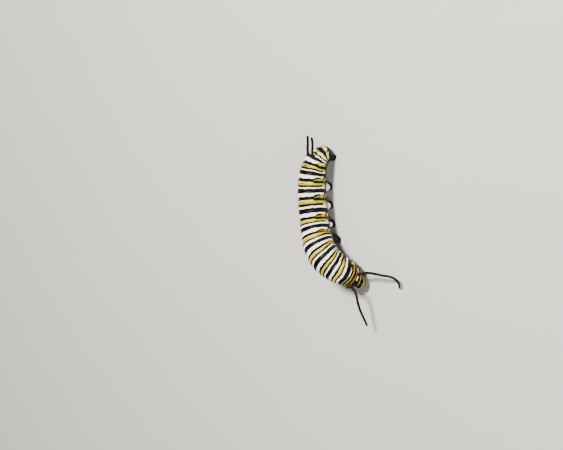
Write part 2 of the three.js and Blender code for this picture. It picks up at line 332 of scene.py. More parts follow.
WHITE = (0.92, 0.91, 0.90)
CREAM = (0.80, 0.76, 0.28)
PALE_YELLOW = (0.62, 0.54, 0.02)
YELLOW = (0.43, 0.335, 0.0)
ORANGE = (0.23, 0.09, 0.0)
BLACK = (0.0008, 0.0006, 0.0006)
# Reddish brown for the painted sheen on the folds of the black skin
PAINTED_SHEEN_BROWN = (0.014, 0.004, 0.002)
SKIN_SHADE = (0.50, 0.42, 0.38)
LEG_BLACK = (0.0015, 0.001, 0.001)
LEG_BROWN = (0.014, 0.009, 0.008)
SHELL_BLACK = (0.002, 0.0014, 0.001)
SHELL_BROWN = (0.08, 0.028, 0.008)
FLOOR_DARK = (0.50, 0.50, 0.49)
FLOOR_LIGHT = (0.53, 0.53, 0.52)


def skin_material():
    """Stripes from the skin's own measures: light is the depth inside a light band in mm."""
    paint = Paint("striped_skin")
    grain = paint.varied(0.12, 0.09)
    light = paint.range(paint.math("ADD", paint.attribute("light"), grain), 0.03, 0.075)
    hue = paint.math("ADD", paint.attribute("hue"), paint.varied(0.35, 0.22))
    bright = paint.ramp(hue, [(0.0, WHITE), (0.3, CREAM), (0.62, PALE_YELLOW), (0.95, YELLOW)])
    uneven = paint.range(paint.noise(0.3), 0.3, 0.6, 0.6, 1.0)
    warm = paint.math("MULTIPLY", paint.attribute("warm"), uneven)
    bright = paint.mix(warm, bright, ORANGE)
    mottle = paint.range(paint.noise(0.22, 4.0), 0.5, 0.75, 0.0, 0.1)
    bright = paint.mix(mottle, bright, SKIN_SHADE)
    # Painted sheen: reddish-brown patches mixed into the black bands in place of light glancing off the
    # folds
    patches = paint.range(paint.noise(0.4), 0.45, 0.8, 0.0, 0.7)
    painted_sheen_share = paint.math("MULTIPLY", paint.attribute("painted_sheen"), patches)
    dark = paint.mix(painted_sheen_share, BLACK, PAINTED_SHEEN_BROWN)
    colour = paint.mix(light, dark, bright)
    rough = paint.range(light, 0.0, 1.0, 0.34, 0.46)
    rough = paint.math("ADD", rough, paint.math("MULTIPLY", paint.noise(0.2), 0.12))
    pores = paint.bump(paint.noise(0.07, 2.0), 0.012)
    creases = paint.bump(paint.noise(0.25, 3.0), 0.03, under=pores)
    return paint.finish(colour, rough, creases, 0.1)


def dark_skin_material():
    """Soft black skin of the tentacles, browner at the roots."""
    paint = Paint("black_skin")
    uneven = paint.range(paint.noise(0.3), 0.25, 0.6, 0.5, 1.0)
    brown = paint.math("MULTIPLY", paint.attribute("brown"), uneven)
    colour = paint.mix(brown, LEG_BLACK, LEG_BROWN)
    rough = paint.range(paint.noise(0.15), 0.3, 0.7, 0.34, 0.52)
    return paint.finish(colour, rough, paint.bump(paint.noise(0.06, 2.0), 0.02), 0.08)


def horn_material():
    """Shiny shell of the true legs, mouthparts, antennae and spiracles, brown in places."""
    paint = Paint("black_horn")
    uneven = paint.range(paint.noise(0.2), 0.3, 0.7, 0.4, 1.0)
    brown = paint.math("MULTIPLY", paint.attribute("brown"), uneven)
    colour = paint.mix(brown, SHELL_BLACK, SHELL_BROWN)
    rough = paint.range(paint.noise(0.1), 0.3, 0.7, 0.16, 0.28)
    return paint.finish(colour, rough, paint.bump(paint.noise(0.08, 2.0), 0.006), 0.35)


def head_material():
    """Yellow arches on a shiny black shell, from the head's own measures."""
    paint = Paint("head_shell")
    grain = paint.varied(0.1, 0.06)
    light = paint.range(paint.math("ADD", paint.attribute("light"), grain), -0.02, 0.02)
    yellows = [(0.0, WHITE), (0.4, CREAM), (0.7, PALE_YELLOW), (1.0, YELLOW)]
    bright = paint.ramp(paint.attribute("hue"), yellows)
    bright = paint.mix(paint.range(paint.noise(0.25), 0.5, 0.8, 0.0, 0.3), bright, ORANGE)
    colour = paint.mix(light, SHELL_BLACK, bright)
    rough = paint.range(paint.noise(0.15), 0.3, 0.7, 0.2, 0.34)
    pits = paint.bump(paint.noise(0.09, 1.0), 0.01)
    return paint.finish(colour, rough, pits, 0.35)


SKIN = skin_material()
DARK_SKIN = dark_skin_material()
HORN = horn_material()
HEAD_SHELL = head_material()


# Meshes
def add_piece(name, points, faces, material, replaced=(), attributes=None, uv=None):
    """A smooth piece from points in mm, riding on the body, in place of the CAD nodes named."""
    mesh = bpy.data.meshes.new(name)
    mesh.from_pydata((np.asarray(points) * MM).tolist(), [], faces)
    mesh.update()
    for key, values in (attributes or {}).items():
        layer = mesh.attributes.new(key, "FLOAT", "POINT")
        layer.data.foreach_set("value", np.asarray(values, np.float32).ravel())
    if uv is not None:
        layer = mesh.uv_layers.new(name="OFBake")
        layer.data.foreach_set("uv", np.asarray(uv, np.float32).ravel())
    mesh.shade_smooth()
    mesh.materials.append(material)
    made = bpy.data.objects.new(name, mesh)
    bpy.context.scene.collection.objects.link(made)
    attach(made, "root")
    if replaced:
        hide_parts(*replaced)


def tube_faces(rows, around):
    """Faces of a closed tube of rings, with a fan at each end; the two end points come last."""
    i, j = np.meshgrid(np.arange(rows - 1), np.arange(around), indexing="ij")
    a = i * around + j
    b = i * around + (j + 1) % around
    faces = np.stack([a, a + around, b + around, b], -1).reshape(-1, 4).tolist()
    first = rows * around
    top = (rows - 1) * around
    for j in range(around):
        k = (j + 1) % around
        faces.append([first, j, k])
        faces.append([first + 1, top + k, top + j])
    return faces


def with_ends(values, first, last):
    """Values on the rings of a closed tube, then those of its two end points."""
    return np.concatenate([np.ravel(values), [first, last]])


def closed_tube(rings):
    """Points and faces of a closed tube through an array of rings, faces outward."""
    rows, around = rings.shape[:2]
    points = np.concatenate([rings.reshape(-1, 3), rings[0].mean(0)[None], rings[-1].mean(0)[None]])
    faces = tube_faces(rows, around)
    corners = points[[f[0] for f in faces]], points[[f[1] for f in faces]], points[[f[2] for f in faces]]
    if np.einsum("ij,ij->i", corners[0], np.cross(corners[1], corners[2])).sum() < 0:
        faces = [f[::-1] for f in faces]
    return points, faces


def path_rings(points, radii, around):
    """Round rings square to a path, turned as little as possible from one to the next."""
    along = np.gradient(points, axis=0)
    along /= np.linalg.norm(along, axis=1)[:, None]
    helper = np.array([0, 0, 1.0]) if abs(along[0][2]) < 0.9 else np.array([1.0, 0, 0])
    side = np.cross(helper, along[0])
    angle = circle(around)[:, None]
    rings = []
    for p, way, r in zip(points, along, radii):
        side = side - way * side.dot(way)
        side /= np.linalg.norm(side)
        other = np.cross(way, side)
        rings.append(p + r * (np.cos(angle) * side + np.sin(angle) * other))
    return np.array(rings)


CURVE_STEPS = 400


def through(points, count):
    """Evenly spaced points on a smooth curve through a few points."""
    points = np.asarray(points, float)
    fine = np.linspace(0, len(points) - 1, CURVE_STEPS)
    curve = np.stack([smooth(points[:, k], fine) for k in range(3)], -1)
    run = np.concatenate([[0], np.cumsum(np.linalg.norm(np.diff(curve, axis=0), axis=1))])
    want = np.linspace(0, run[-1], count)
    return np.stack([np.interp(want, run, curve[:, k]) for k in range(3)], -1)


# Stripes of each segment, as parts of its length from the front edge: the white, the pale and
# the yellow band, then the degrees from the middle of the back where the white and the other two end
STRIPES = {
    "thorax_3": ((-0.04, 0.06), (0.385, 0.585), (0.675, 0.91), 88, 112),
    "abdomen_1": ((0.05, 0.255), (0.47, 0.59), (0.675, 0.85), 108, 116),
    "abdomen_2": ((0.0, 0.20), (0.43, 0.57), (0.66, 0.86), 112, 118),
    "abdomen_3": ((0.0, 0.22), (0.475, 0.64), (0.73, 0.97), 112, 118),
    "abdomen_4": ((0.12, 0.365), (0.615, 0.745), (0.83, 1.0), 98, 109),
    "abdomen_5": ((0.14, 0.33), (0.555, 0.67), (0.775, 0.98), 98, 109),
    "abdomen_6": ((0.15, 0.365), (0.60, 0.705), (0.80, 1.0), 98, 109),
    "abdomen_7": ((0.2, 0.44), (0.665, 0.75), (0.835, 0.98), 98, 104),
    "abdomen_8": ((0.13, 0.345), (0.53, 0.655), (0.75, 0.985), 98, 90),
}
BENT = ("thorax_3", "abdomen_1", "abdomen_2", "abdomen_3")
FORKED = ("abdomen_4", "abdomen_5", "abdomen_6", "abdomen_7")
FORK_START = 48  # degrees from the middle of the back where the fork starts

# How far the folds and stripes lie behind the section plane in mm, where the skin bunches as the
# body bends: at 30 degrees to the right of the middle of the back, at the middle, then at 45, 75
# and 105 degrees to the left
DRIFT = {
    "thorax_1": (0.3, 0, 0.1, 0.5, 0.7),
    "thorax_2": (0.3, 0, 0.12, 0.65, 0.95),
    "thorax_3": (0.4, 0, 0.25, 0.75, 1.1),
    "abdomen_1": (0.2, 0.05, -0.1, 0.4, 1.2),
    "abdomen_2": (0.1, 0.05, -0.25, 0.3, 1.4),
    "abdomen_3": (0, 0, -0.05, 0.5, 1.6),
    "abdomen_4": (-0.6, -0.27, 0.15, 0.2, -0.2),
    "abdomen_5": (-0.5, -0.2, 0, -0.05, -0.45),
    "abdomen_6": (-0.5, -0.22, 0, 0, -0.3),
    "abdomen_7": (-0.5, -0.3, 0, 0, -0.1),
    "abdomen_8": (-0.1, 0, 0, 0.1, 0.2),
}
NO_DRIFT = (0, 0, 0, 0, 0)


DRIFT_BLUR = 21  # degrees over which the drift is evened out


def drift_table():
    """The drift at every degree round, faded out to the belly and the right."""
    degrees = np.arange(360)
    blur = np.ones(DRIFT_BLUR) / DRIFT_BLUR
    rows = []
    for name in NAMES:
        right, middle, *left = DRIFT.get(name, NO_DRIFT)
        knots = (0, 45, 75, 105, 150, 180, 255, 330, 360)
        values = (middle, *left, 0.4 * left[-1], 0, 0, right, middle)
        row = np.interp(degrees, knots, values)
        rows.append(np.convolve(np.tile(row, 3), blur, "same")[360:720])
    return np.array(rows)


DRIFT_TABLE = drift_table()


def skin_place(along, theta, u):
    """Distance from the neck as the folds and stripes count it."""
    return along - look_up(DRIFT_TABLE, u - 0.5, theta)


class Marks:
    """Light marks gathered over the skin, each with its depth, hue and warmth."""

    BLEND = 0.05  # mm over which the hues of neighbouring marks mix

    def __init__(self, shape):
        self.light = np.full(shape, -1.0)
        self.weight = np.full(shape, 1e-9)
        self.hue = np.zeros(shape)
        self.warm = np.zeros(shape)

    def add(self, depth, hue, warm):
        weight = np.exp(np.clip(depth, -1, 0.3) / self.BLEND)
        self.light = np.maximum(self.light, depth)
        self.weight += weight
        self.hue += weight * hue
        self.warm += weight * warm

    def merge(self, near, part):
        """Take in marks that were gathered for some of the points only."""
        self.light[near] = np.maximum(self.light[near], part.light)
        self.weight[near] += part.weight
        self.hue[near] += part.hue
        self.warm[near] += part.warm

    def values(self):
        return {"light": np.clip(self.light, -1, 1), "hue": self.hue / self.weight,
                "warm": self.warm / self.weight}


def stripe_segment(marks, name, x, angle, per_degree, length):
    """Bands of one segment. x is mm behind its front edge, angle degrees from the middle."""
    bands = np.array(STRIPES[name][:3]) * length
    (white_front, white_rear), (pale_front, pale_rear), (yellow_front, yellow_rear) = bands
    white_end, yellow_end = [(end - angle) * per_degree for end in STRIPES[name][3:]]

    # Where the front of the body bends, the black bands widen down the side
    if name in BENT:
        white_rear = white_rear - 0.24 * step(45, 95, angle)
        pale_front = pale_front + 0.08 * step(45, 95, angle)
        pale_rear = pale_rear + 0.12 * step(55, 95, angle)
        recede = {"abdomen_3": 0.6, "thorax_3": 0.45}.get(name, 0.12)
        yellow_front = yellow_front + recede * step(45, 85, angle)

    # White band, narrowed from the front where the fork pushes in
    front = white_front
    hue = 0.0
    warm = 0.0
    if name in FORKED:
        front = front + 0.5 * step(FORK_START, 64, angle)
    if name in ("thorax_3", "abdomen_1"):
        front = front + 0.25 * (white_rear - white_front) * step(35, 65, angle)
    if name == "abdomen_8":
        front = front + 0.3 * step(65, 95, angle)
        white_rear = white_rear + 0.28 * step(55, 80, angle)
        hue = step(40, 52, angle) * (1 - step(0.68, 0.92, x)) + 0.7 * step(76, 90, angle)
        warm = 0.55 * step(58, 88, angle) * (1 - step(0.7, 1.0, x))
    marks.add(inside(x - front, white_rear - x, white_end), np.clip(hue, 0, 0.95), warm)

    # Pale band, creamier to the rear
    hue = 0.3 * step(0.45 * pale_front + 0.55 * pale_rear, pale_rear, x)
    marks.add(inside(x - pale_front, pale_rear - x, yellow_end), hue, 0.0)

    # Yellow band: a pale strand behind a deep one, the pale one ending where the fork starts
    rear = yellow_rear
    if name in FORKED:
        trim = 0.1 if name == "abdomen_7" else 0.34
        rear = rear - trim * step(FORK_START - 3, FORK_START + 9, angle)
    if name in ("abdomen_1", "abdomen_2"):
        rear = rear + 0.5 * step(70, 95, angle)
    middle = 0.52 * yellow_front + 0.48 * yellow_rear
    hue = 1.0 - 0.48 * step(middle - 0.1, middle + 0.14, x) * (1 - step(44, 58, angle))
    crease = bump(x, middle, 0.12) * (1 - step(16, 34, angle))
    warm = 0.7 * crease + 0.3 * bump(x, yellow_front, 0.16)
    if name in ("abdomen_1", "abdomen_2"):
        warm = warm + 0.6 * step(58, 76, angle)
    if name == "abdomen_3":
        warm = warm + 0.55 * step(74, 88, angle)
    if name == "abdomen_8":
        hue = 0.38 + 0.55 * step(60, 80, angle)
        spot = bump(np.hypot(x - middle, angle * per_degree), 0, 0.3)
        warm = 0.6 * step(66, 84, angle) + 0.7 * spot
    edges = [x - yellow_front, rear - x, yellow_end]
    if name in FORKED + ("abdomen_3",):
        # The two strands stand apart across the back
        edges.append(np.abs(x - middle) - 0.03 + 0.6 * step(8, 26, angle))
    marks.add(inside(*edges), hue, np.clip(warm, 0, 1))

    if name in FORKED:
        # The pale and yellow bands join at their lower ends
        hue = 0.05 + 0.85 * step((pale_front + pale_rear) / 2, 0.6 * yellow_front + 0.4 * yellow_rear, x)
        join = inside(x - pale_front, rear - 0.1 - x, (angle - 90) * per_degree, yellow_end)
        marks.add(join, hue, 0.1)
        # Yellow streak in front of the white band, thickening down the side
        big = {"abdomen_7": 1.5, "abdomen_4": 0.5}.get(name, 1.0)
        centre = white_front - 0.5 + 0.32 * step(FORK_START, 66, angle)
        thick = 0.07 + 0.16 * big * step(FORK_START, 72, angle)
        ends = inside((angle - FORK_START) * per_degree, (92 - angle) * per_degree)
        warm = 0.45 if name == "abdomen_4" else 0.1
        marks.add(inside(thick - np.abs(x - centre), ends), 0.95, warm)
        # Bar that joins the streak and the white band
        bar_rear = white_front + 0.35 if name == "abdomen_4" else white_rear
        sides = ((angle - 80) * per_degree, (95 - angle) * per_degree)
        bar = inside(x - centre + 0.35, bar_rear - x, *sides)
        marks.add(bar, 0.9 * (1 - step(white_front, white_rear - 0.1, x)), warm)
        # Small patch below the bar
        across = (x - 0.16 * length) / (0.15 * length)
        patch = 0.5 * (1 - np.hypot(across, (angle - 108 - 4 * across) / 6.5))
        marks.add(patch, 0.8, 0.4 * (1 - step(104, 110, angle)))


# Narrow bands of the first segments: segment, front and rear as parts of its length, the degrees
# from the middle of the back where they start and end, hue and warmth
NARROW_BANDS = (
    # Yellow front rim of the first segment, a cream line behind it, two orange strands
    (0, 0.12, 0.36, 16, 108, 0.5, 0.1),
    (1, -0.1, 0.13, 20, 108, 0.25, 0.0),
    (1, 0.23, 0.37, -90, 84, 0.9, 0.55),
    (1, 0.62, 0.78, -90, 96, 0.9, 0.35),
    # Yellow patch where the third segment's white line stops
    (2, -0.27, 0.12, 77, 107, 0.95, 0.15),
)

# Plate over the tail: its front and rear edge in mm behind the front edge of abdomen_9, at these
# degrees from the middle of the back, and the degrees at its brown side lines
PLATE_SEGMENT = 11
PLATE_FRONT = ((0, 30, 45, 60, 75, 100), (0.74, 0.6, 0.5, 0.33, 0.12, 0.0))
PLATE_REAR = ((0, 22, 33, 42, 55, 70, 80, 92), (1.5, 1.45, 1.25, 1.42, 1.2, 0.8, 0.5, 0.0))
PLATE_LINE = 35.5


def stripe_ends(marks, place, angle, per_degree):
    """Narrower marks of the first three segments and the plate over the tail."""
    for k, front, rear, start, end, hue, warm in NARROW_BANDS:
        x = place - STARTS[k]
        depth = inside(x - front * LENGTHS[k], rear * LENGTHS[k] - x, (angle - start) * per_degree,
                       (end - angle) * per_degree)
        marks.add(depth, hue, warm)
    # Cream plate, white along its front
    x = place - STARTS[PLATE_SEGMENT]
    front = np.interp(angle, *PLATE_FRONT)
    rear = np.interp(angle, *PLATE_REAR)
    behind_front = step(front + 0.1, front + 0.3, x)
    hue = 0.12 + 0.45 * behind_front
    groove = np.abs(angle - PLATE_LINE) * per_degree - 0.12 + 0.4 * (1 - behind_front)
    marks.add(inside(x - front, rear - x, groove), hue, 0.5 * bump(angle, PLATE_LINE, 5))


def skin_marks(along, theta, u):
    """The skin's painted measures at each of its points."""
    radius = np.maximum(body_radius(u), 0.4)
    place = skin_place(along, theta, u)
    wave = 0.06 * ripple(along, theta, 0.9, 40, 11) + 0.03 * ripple(along, theta, 0.25, 110, 12)
    angle = np.degrees(np.abs(from_back(theta) + 0.045 * ripple(along, theta, 0.7, 36, 13)))
    per_degree = np.radians(radius)
    marks = Marks(along.shape)
    for k, name in enumerate(NAMES):
        if name not in STRIPES:
            continue
        wilder = 2.0 if name == "abdomen_8" else 1.0
        near = (place > STARTS[k] - 1.0) & (place < STARTS[k + 1] + 0.8)
        part = Marks(along[near].shape)
        x = place[near] - STARTS[k] + wilder * wave[near]
        stripe_segment(part, name, x, angle[near], per_degree[near], LENGTHS[k])
        marks.merge(near, part)
    stripe_ends(marks, place + wave, angle, per_degree)
    values = marks.values()
    # Painted sheen on the black skin: random fold patches on the back and sides, fading out below the
    # flanks, plus a faint share everywhere
    folds = 0.5 + 0.5 * ripple(along, theta, 0.35, 16, 14)
    values["painted_sheen"] = np.clip(folds * (1 - step(110, 135, angle)) + 0.1, 0, 1)
    return values


PROLEG_AT = 0.52  # place of a proleg along its segment
PROLEG_SEGMENTS = (5, 6, 7, 8)
THORAX_SEGMENTS = (0, 1, 2)
RIDGED_SEGMENTS = (3, 10)  # first and last with a ridge low on each side
FULL_RADIUS = 3.7  # half width of the body where the folds have their full depth


def fold_places():
    """Where the folds run: in the black between a segment's yellow and the next one's white."""
    places = []
    for k in range(1, COUNT):
        place = STARTS[k]
        if NAMES[k - 1] in STRIPES and NAMES[k] in STRIPES:
            behind = STRIPES[NAMES[k]][0][0] * LENGTHS[k]
            ahead = (STRIPES[NAMES[k - 1]][2][1] - 1) * LENGTHS[k - 1]
            place = place + (behind + ahead) / 2
        places.append(place)
    return places


FOLDS = fold_places()


def skin_relief(along, theta, u):
    """Lift of the skin off its smooth form, in mm."""
    degrees = np.degrees(from_back(theta))
    place = skin_place(along, theta, u) + 0.06 * ripple(along, theta, 1.5, 14, 21)
    size = body_radius(u) / FULL_RADIUS
    lift = np.zeros(along.shape)

    # Folds between segments, softer under the belly
    depth = 0.25 * size * (1 - 0.4 * step(120, 170, degrees))
    for fold in FOLDS:
        lift -= depth * bump(place, fold, 0.17)

    # Creases across each segment: in the wide black band, in front of the yellow and inside it
    side = 1 - 0.6 * step(100, 130, degrees)
    for k, name in enumerate(NAMES):
        if name not in STRIPES:
            continue
        white, pale, yellow = STRIPES[name][:3]
        creases = (((white[1] + pale[0]) / 2, 0.075, 0.15), ((pale[1] + yellow[0]) / 2, 0.085, 0.11),
                   ((yellow[0] + yellow[1]) / 2, 0.045, 0.08), ((white[0] + white[1]) / 2, 0.02, 0.1))
        for at, deep, width in creases:
            lift -= deep * size * side * bump(place, STARTS[k] + at * LENGTHS[k], width)

    # Fine wrinkles that run round the body
    lift += 0.022 * ripple(along, theta, 0.22, 26, 22) + 0.01 * ripple(along, theta, 0.12, 60, 23)
    lift += 0.03 * ripple(along, theta, 1.1, 12, 24)

    # Ridge low on each side, swellings that carry the legs
    k = np.clip(np.floor(u).astype(int), 0, COUNT - 1)
    t = (along - STARTS[k]) / LENGTHS[k]
    ridge = bump(degrees, 118, 11) * (0.35 + 0.65 * bump(t, 0.5, 0.3))
    first, last = RIDGED_SEGMENTS
    lift += np.where((k >= first) & (k <= last), 0.06 * size * ridge, 0)
    for segment in PROLEG_SEGMENTS:
        near = bump(along, STARTS[segment] + PROLEG_AT * LENGTHS[segment], 1.15)
        lift += 0.2 * near * bump(degrees, 152, 14)
    for segment in THORAX_SEGMENTS:
        near = bump(along, STARTS[segment] + 0.5 * LENGTHS[segment], 0.6)
        lift += 0.12 * near * bump(degrees, 143, 18)

    # Plate over the tail, set off by a groove
    plate = (u > TAIL_PLACE) * bump(degrees, 0, 62)
    lift += 0.05 * plate * step(12.05, 12.2, u) * (1 - step(12.8, 12.95, u))
    return lift * np.sqrt(np.clip((COUNT - u) / 0.25, 0, 1))


TAIL_FINENESS = 1.3  # how many more rings the tail has for its length


def ring_places():
    """Distances from the neck where the skin has rings, closer together as the tail rounds off."""
    start = STARTS[TAIL_PLACE]
    length = LENGTHS[TAIL_PLACE]
    trunk = np.linspace(0, start, int(start / RING_STEP))
    tail_count = int(length / RING_STEP * TAIL_FINENESS)
    tail = start + length * (1 - (1 - np.linspace(0, 1, tail_count + 1)[1:-1]) ** 2)
    return np.concatenate([trunk, tail])


MAP_SIDE = 0.005  # margins of the skin's map, as parts of it
MAP_END = 0.01
MAP_TIP = 0.002


def skin_map(theta_line, rows):
    """Place on the map of every corner of every face, with the belly's middle as the seam."""
    width = 1 - 2 * MAP_SIDE
    across = MAP_SIDE + width * ((theta_line / (2 * np.pi) + 0.5) % 1)
    v = MAP_END + (1 - 2 * MAP_END) * np.linspace(0, 1, rows)
    i, j = np.meshgrid(np.arange(rows - 1), np.arange(RINGS_AROUND), indexing="ij")
    left_edge = across[j]
    right_edge = left_edge + width / RINGS_AROUND
    quad = [(left_edge, v[i]), (left_edge, v[i + 1]), (right_edge, v[i + 1]), (right_edge, v[i])]
    quads = np.stack([np.stack(corner, -1) for corner in quad], 2).reshape(-1, 2)
    fans = []
    for a in across:
        b = a + width / RINGS_AROUND
        middle = (a + b) / 2
        fans += [(middle, MAP_TIP), (a, MAP_END), (b, MAP_END)]
        fans += [(middle, 1 - MAP_TIP), (b, 1 - MAP_END), (a, 1 - MAP_END)]
    return np.concatenate([quads, np.array(fans)])


def build_skin():
    places = ring_places()
    u_line = np.interp(places, STARTS, np.arange(COUNT + 1))
    theta_line = circle(RINGS_AROUND)
    u, theta = np.meshgrid(u_line, theta_line, indexing="ij")
    along = np.repeat(places[:, None], RINGS_AROUND, 1)
    points = surface(u, theta, skin_relief(along, theta, u))
    values = skin_marks(along, theta, u)
    rows = len(places)
    ends = np.stack([points[0].mean(0), points[-1].mean(0)])
    vertices = np.concatenate([points.reshape(-1, 3), ends])
    attributes = {}
    for key, v in values.items():
        attributes[key] = with_ends(v, v[0].mean(), v[-1].mean())
    faces = tube_faces(rows, RINGS_AROUND)
    uv = skin_map(theta_line, rows)
    add_piece("skin", vertices, faces, SKIN, NAMES, attributes, uv)


build_skin()


# Prolegs: sole centre to the midline, root to the midline, half length and half width of the
# sole, soles in front of their place, and top below the axis as a part of the body's radius
PROLEG = (1.95, 1.5, 0.92, 0.7, 0, 0.35)
ANAL_PROLEG = (1.75, 1.2, 0.85, 0.55, 0.5, 0.05)
ANAL_AT = 12.2  # place of the anal prolegs in segments from the neck
PROLEG_RINGS = 44
PROLEG_SIDES = 40
# Swell of a proleg from its sole to its root, along the body and across it
PROLEG_HEIGHTS = (0, 0.02, 0.06, 0.12, 0.2, 0.28, 0.36, 0.5, 0.7, 1.0)
PROLEG_LONG = (0.70, 0.86, 0.98, 1.04, 1.04, 0.98, 0.98, 1.12, 1.22, 1.3)
PROLEG_WIDE = (0.60, 0.82, 0.98, 1.08, 1.06, 0.94, 0.98, 1.16, 1.3, 1.4)
# White oval on the outer side: its size by abdomen segment, height above the floor, half length
# and half height in mm, and how square it is
OVALS = {3: 0.0, 4: 0.75, 5: 1.0, 6: 1.08}
OVAL_HEIGHT = 1.78
OVAL_LONG = 0.85
OVAL_HIGH = 0.86
OVAL_POWER = 2.6


def build_proleg(name, u, side, oval, spread, root_spread, long, wide, lead, drop):
    base = axis_at(u)
    forward = directions(u)[0]
    ahead = np.array([forward[0], forward[1], 0])
    ahead /= np.linalg.norm(ahead)
    out = np.array([-ahead[1], ahead[0], 0]) * side
    at = np.linspace(0, 1, PROLEG_RINGS)[:, None]
    angle = circle(PROLEG_SIDES)
    height = at * (base[2] - drop * body_radius(u))
    folds = 1 + 0.02 * np.sin(at * 46 + 2 * np.sin(angle * 2 + side))
    longs = long * np.interp(at, PROLEG_HEIGHTS, PROLEG_LONG) * folds * np.cos(angle)
    wides = wide * np.interp(at, PROLEG_HEIGHTS, PROLEG_WIDE) * folds * np.sin(angle)
    centre = (np.array([base[0], base[1], 0]) + height * np.array([0, 0, 1])
              + (spread + (root_spread - spread) * at) * out + lead * ahead)
    rings = centre[:, None] + longs[..., None] * ahead + wides[..., None] * out
    points, faces = closed_tube(rings)

    light = np.full(folds.shape, -1.0)
    if oval:
        across = np.abs(long * np.cos(angle)) / (OVAL_LONG * oval)
        rise = np.abs(height - OVAL_HEIGHT) / (OVAL_HIGH * oval)
        depth = oval * 0.75 * (1 - (across**OVAL_POWER + rise**OVAL_POWER) ** (1 / OVAL_POWER))
        light = np.where(np.sin(angle) > 0.1, depth, -1.0)
    attributes = {
        "light": with_ends(np.clip(light, -1, 1), -1, -1),
        "hue": np.full(len(points), 0.05),
        "warm": np.zeros(len(points)),
        # Faint painted sheen on the proleg's black skin
        "painted_sheen": np.full(len(points), 0.1),
    }
    add_piece(name, points, faces, SKIN, [name], attributes)


for number, oval in OVALS.items():
    for word, side in BOTH_SIDES:
        build_proleg(f"proleg_a{number}_{word}", number + 2 + PROLEG_AT, side, oval, *PROLEG)
for word, side in BOTH_SIDES:
    build_proleg(f"anal_proleg_{word}", ANAL_AT, side, 0, *ANAL_PROLEG)

# True legs: name, segment, reach down, reach forward and splay outward
TRUE_LEGS = (("t1", 0, 1.3, 0.55, 0.45), ("t2", 1, 1.85, 0.6, 0.55), ("t3", 2, 2.2, 0.6, 0.6))
LEG_OUT = 0.46  # root to the midline and below the axis, of the body's radius
LEG_BELOW = 0.6
LEG_JOINTS = (0.28, 0.52, 0.76)
LEG_PARTS = (0, 0.2, 0.42, 0.66, 0.88, 1.0)
LEG_RADII = (0.66, 0.6, 0.5, 0.38, 0.24, 0.05)
LEG_RINGS = 60
LEG_SIDES = 24


def build_true_leg(name, segment, reach, ahead, splay, word, side):
    u = segment + 0.5
    base = axis_at(u)
    forward, left, back = directions(u)
    r = body_radius(u)

    def place(front, out, down):
        outward = left * side * (LEG_OUT * r + out)
        return base + forward * front + outward - back * (LEG_BELOW * r + down)

    path = through([
        place(-0.1, -0.1, -0.3),
        place(0.0, 0.1, 0.25),
        place(0.2 * ahead, splay, 0.3 + 0.3 * reach),
        place(0.65 * ahead, 0.7 * splay, 0.3 + 0.65 * reach),
        place(ahead, 0.25 * splay, 0.3 + 0.92 * reach),
        place(ahead + 0.12, -0.05, 0.38 + reach),
    ], LEG_RINGS)
    t = np.linspace(0, 1, LEG_RINGS)
    radii = np.interp(t, LEG_PARTS, LEG_RADII)
    brown = step(0.85, 1.0, t)
    for joint in LEG_JOINTS:
        radii = radii * (1 - 0.2 * bump(t, joint, 0.022) + 0.06 * bump(t, joint - 0.06, 0.03))
        brown = brown + bump(t, joint, 0.03)
    points, faces = closed_tube(path_rings(path, radii, LEG_SIDES))
    brown = with_ends(np.repeat(np.clip(brown, 0, 1), LEG_SIDES), 0, 1)
    full = f"leg_{name}_{word}"
    add_piece(full, points, faces, HORN, [full], {"brown": brown})


for leg in TRUE_LEGS:
    for word, side in BOTH_SIDES:
        build_true_leg(*leg, word, side)

# Tentacles: root place along and round its segment, total length and root radius, then in
# degrees the heading to the larva's left at the root and along the middle, the turn of the last
# part and where along the length it starts, and the climb above level at the root and the end
TENTACLES = [
    ("front_tentacle_left", 1, 0.15, 58, 13.5, 0.34, 95, 70, -105, 0.6, 5, -30),
    ("front_tentacle_right", 1, 0.15, -54, 13.0, 0.34, 90, -5, 0, 0.6, 20, -25),
    ("rear_tentacle_left", 10, 0.4, 12, 5.5, 0.29, 155, 150, 25, 0.5, 20, 10),
    ("rear_tentacle_right", 10, 0.4, -30, 5.2, 0.29, 155, 150, 15, 0.5, 20, 10),
]
SWING_PART = 0.45  # part of the length over which the heading at the root dies out
SINK_PART = 0.8  # part of the length over which the climb changes
TENTACLE_STEPS = 11
TENTACLE_BURIED = 0.8  # mm of a tentacle's root under the skin
TENTACLE_TIP = 0.25  # radius in front of the rounded tip
TENTACLE_FLARE = 0.12  # how much wider the root is, over a short length
TENTACLE_RINGS = 120
TENTACLE_SIDES = 22
TENTACLE_ROUGH = 0.035


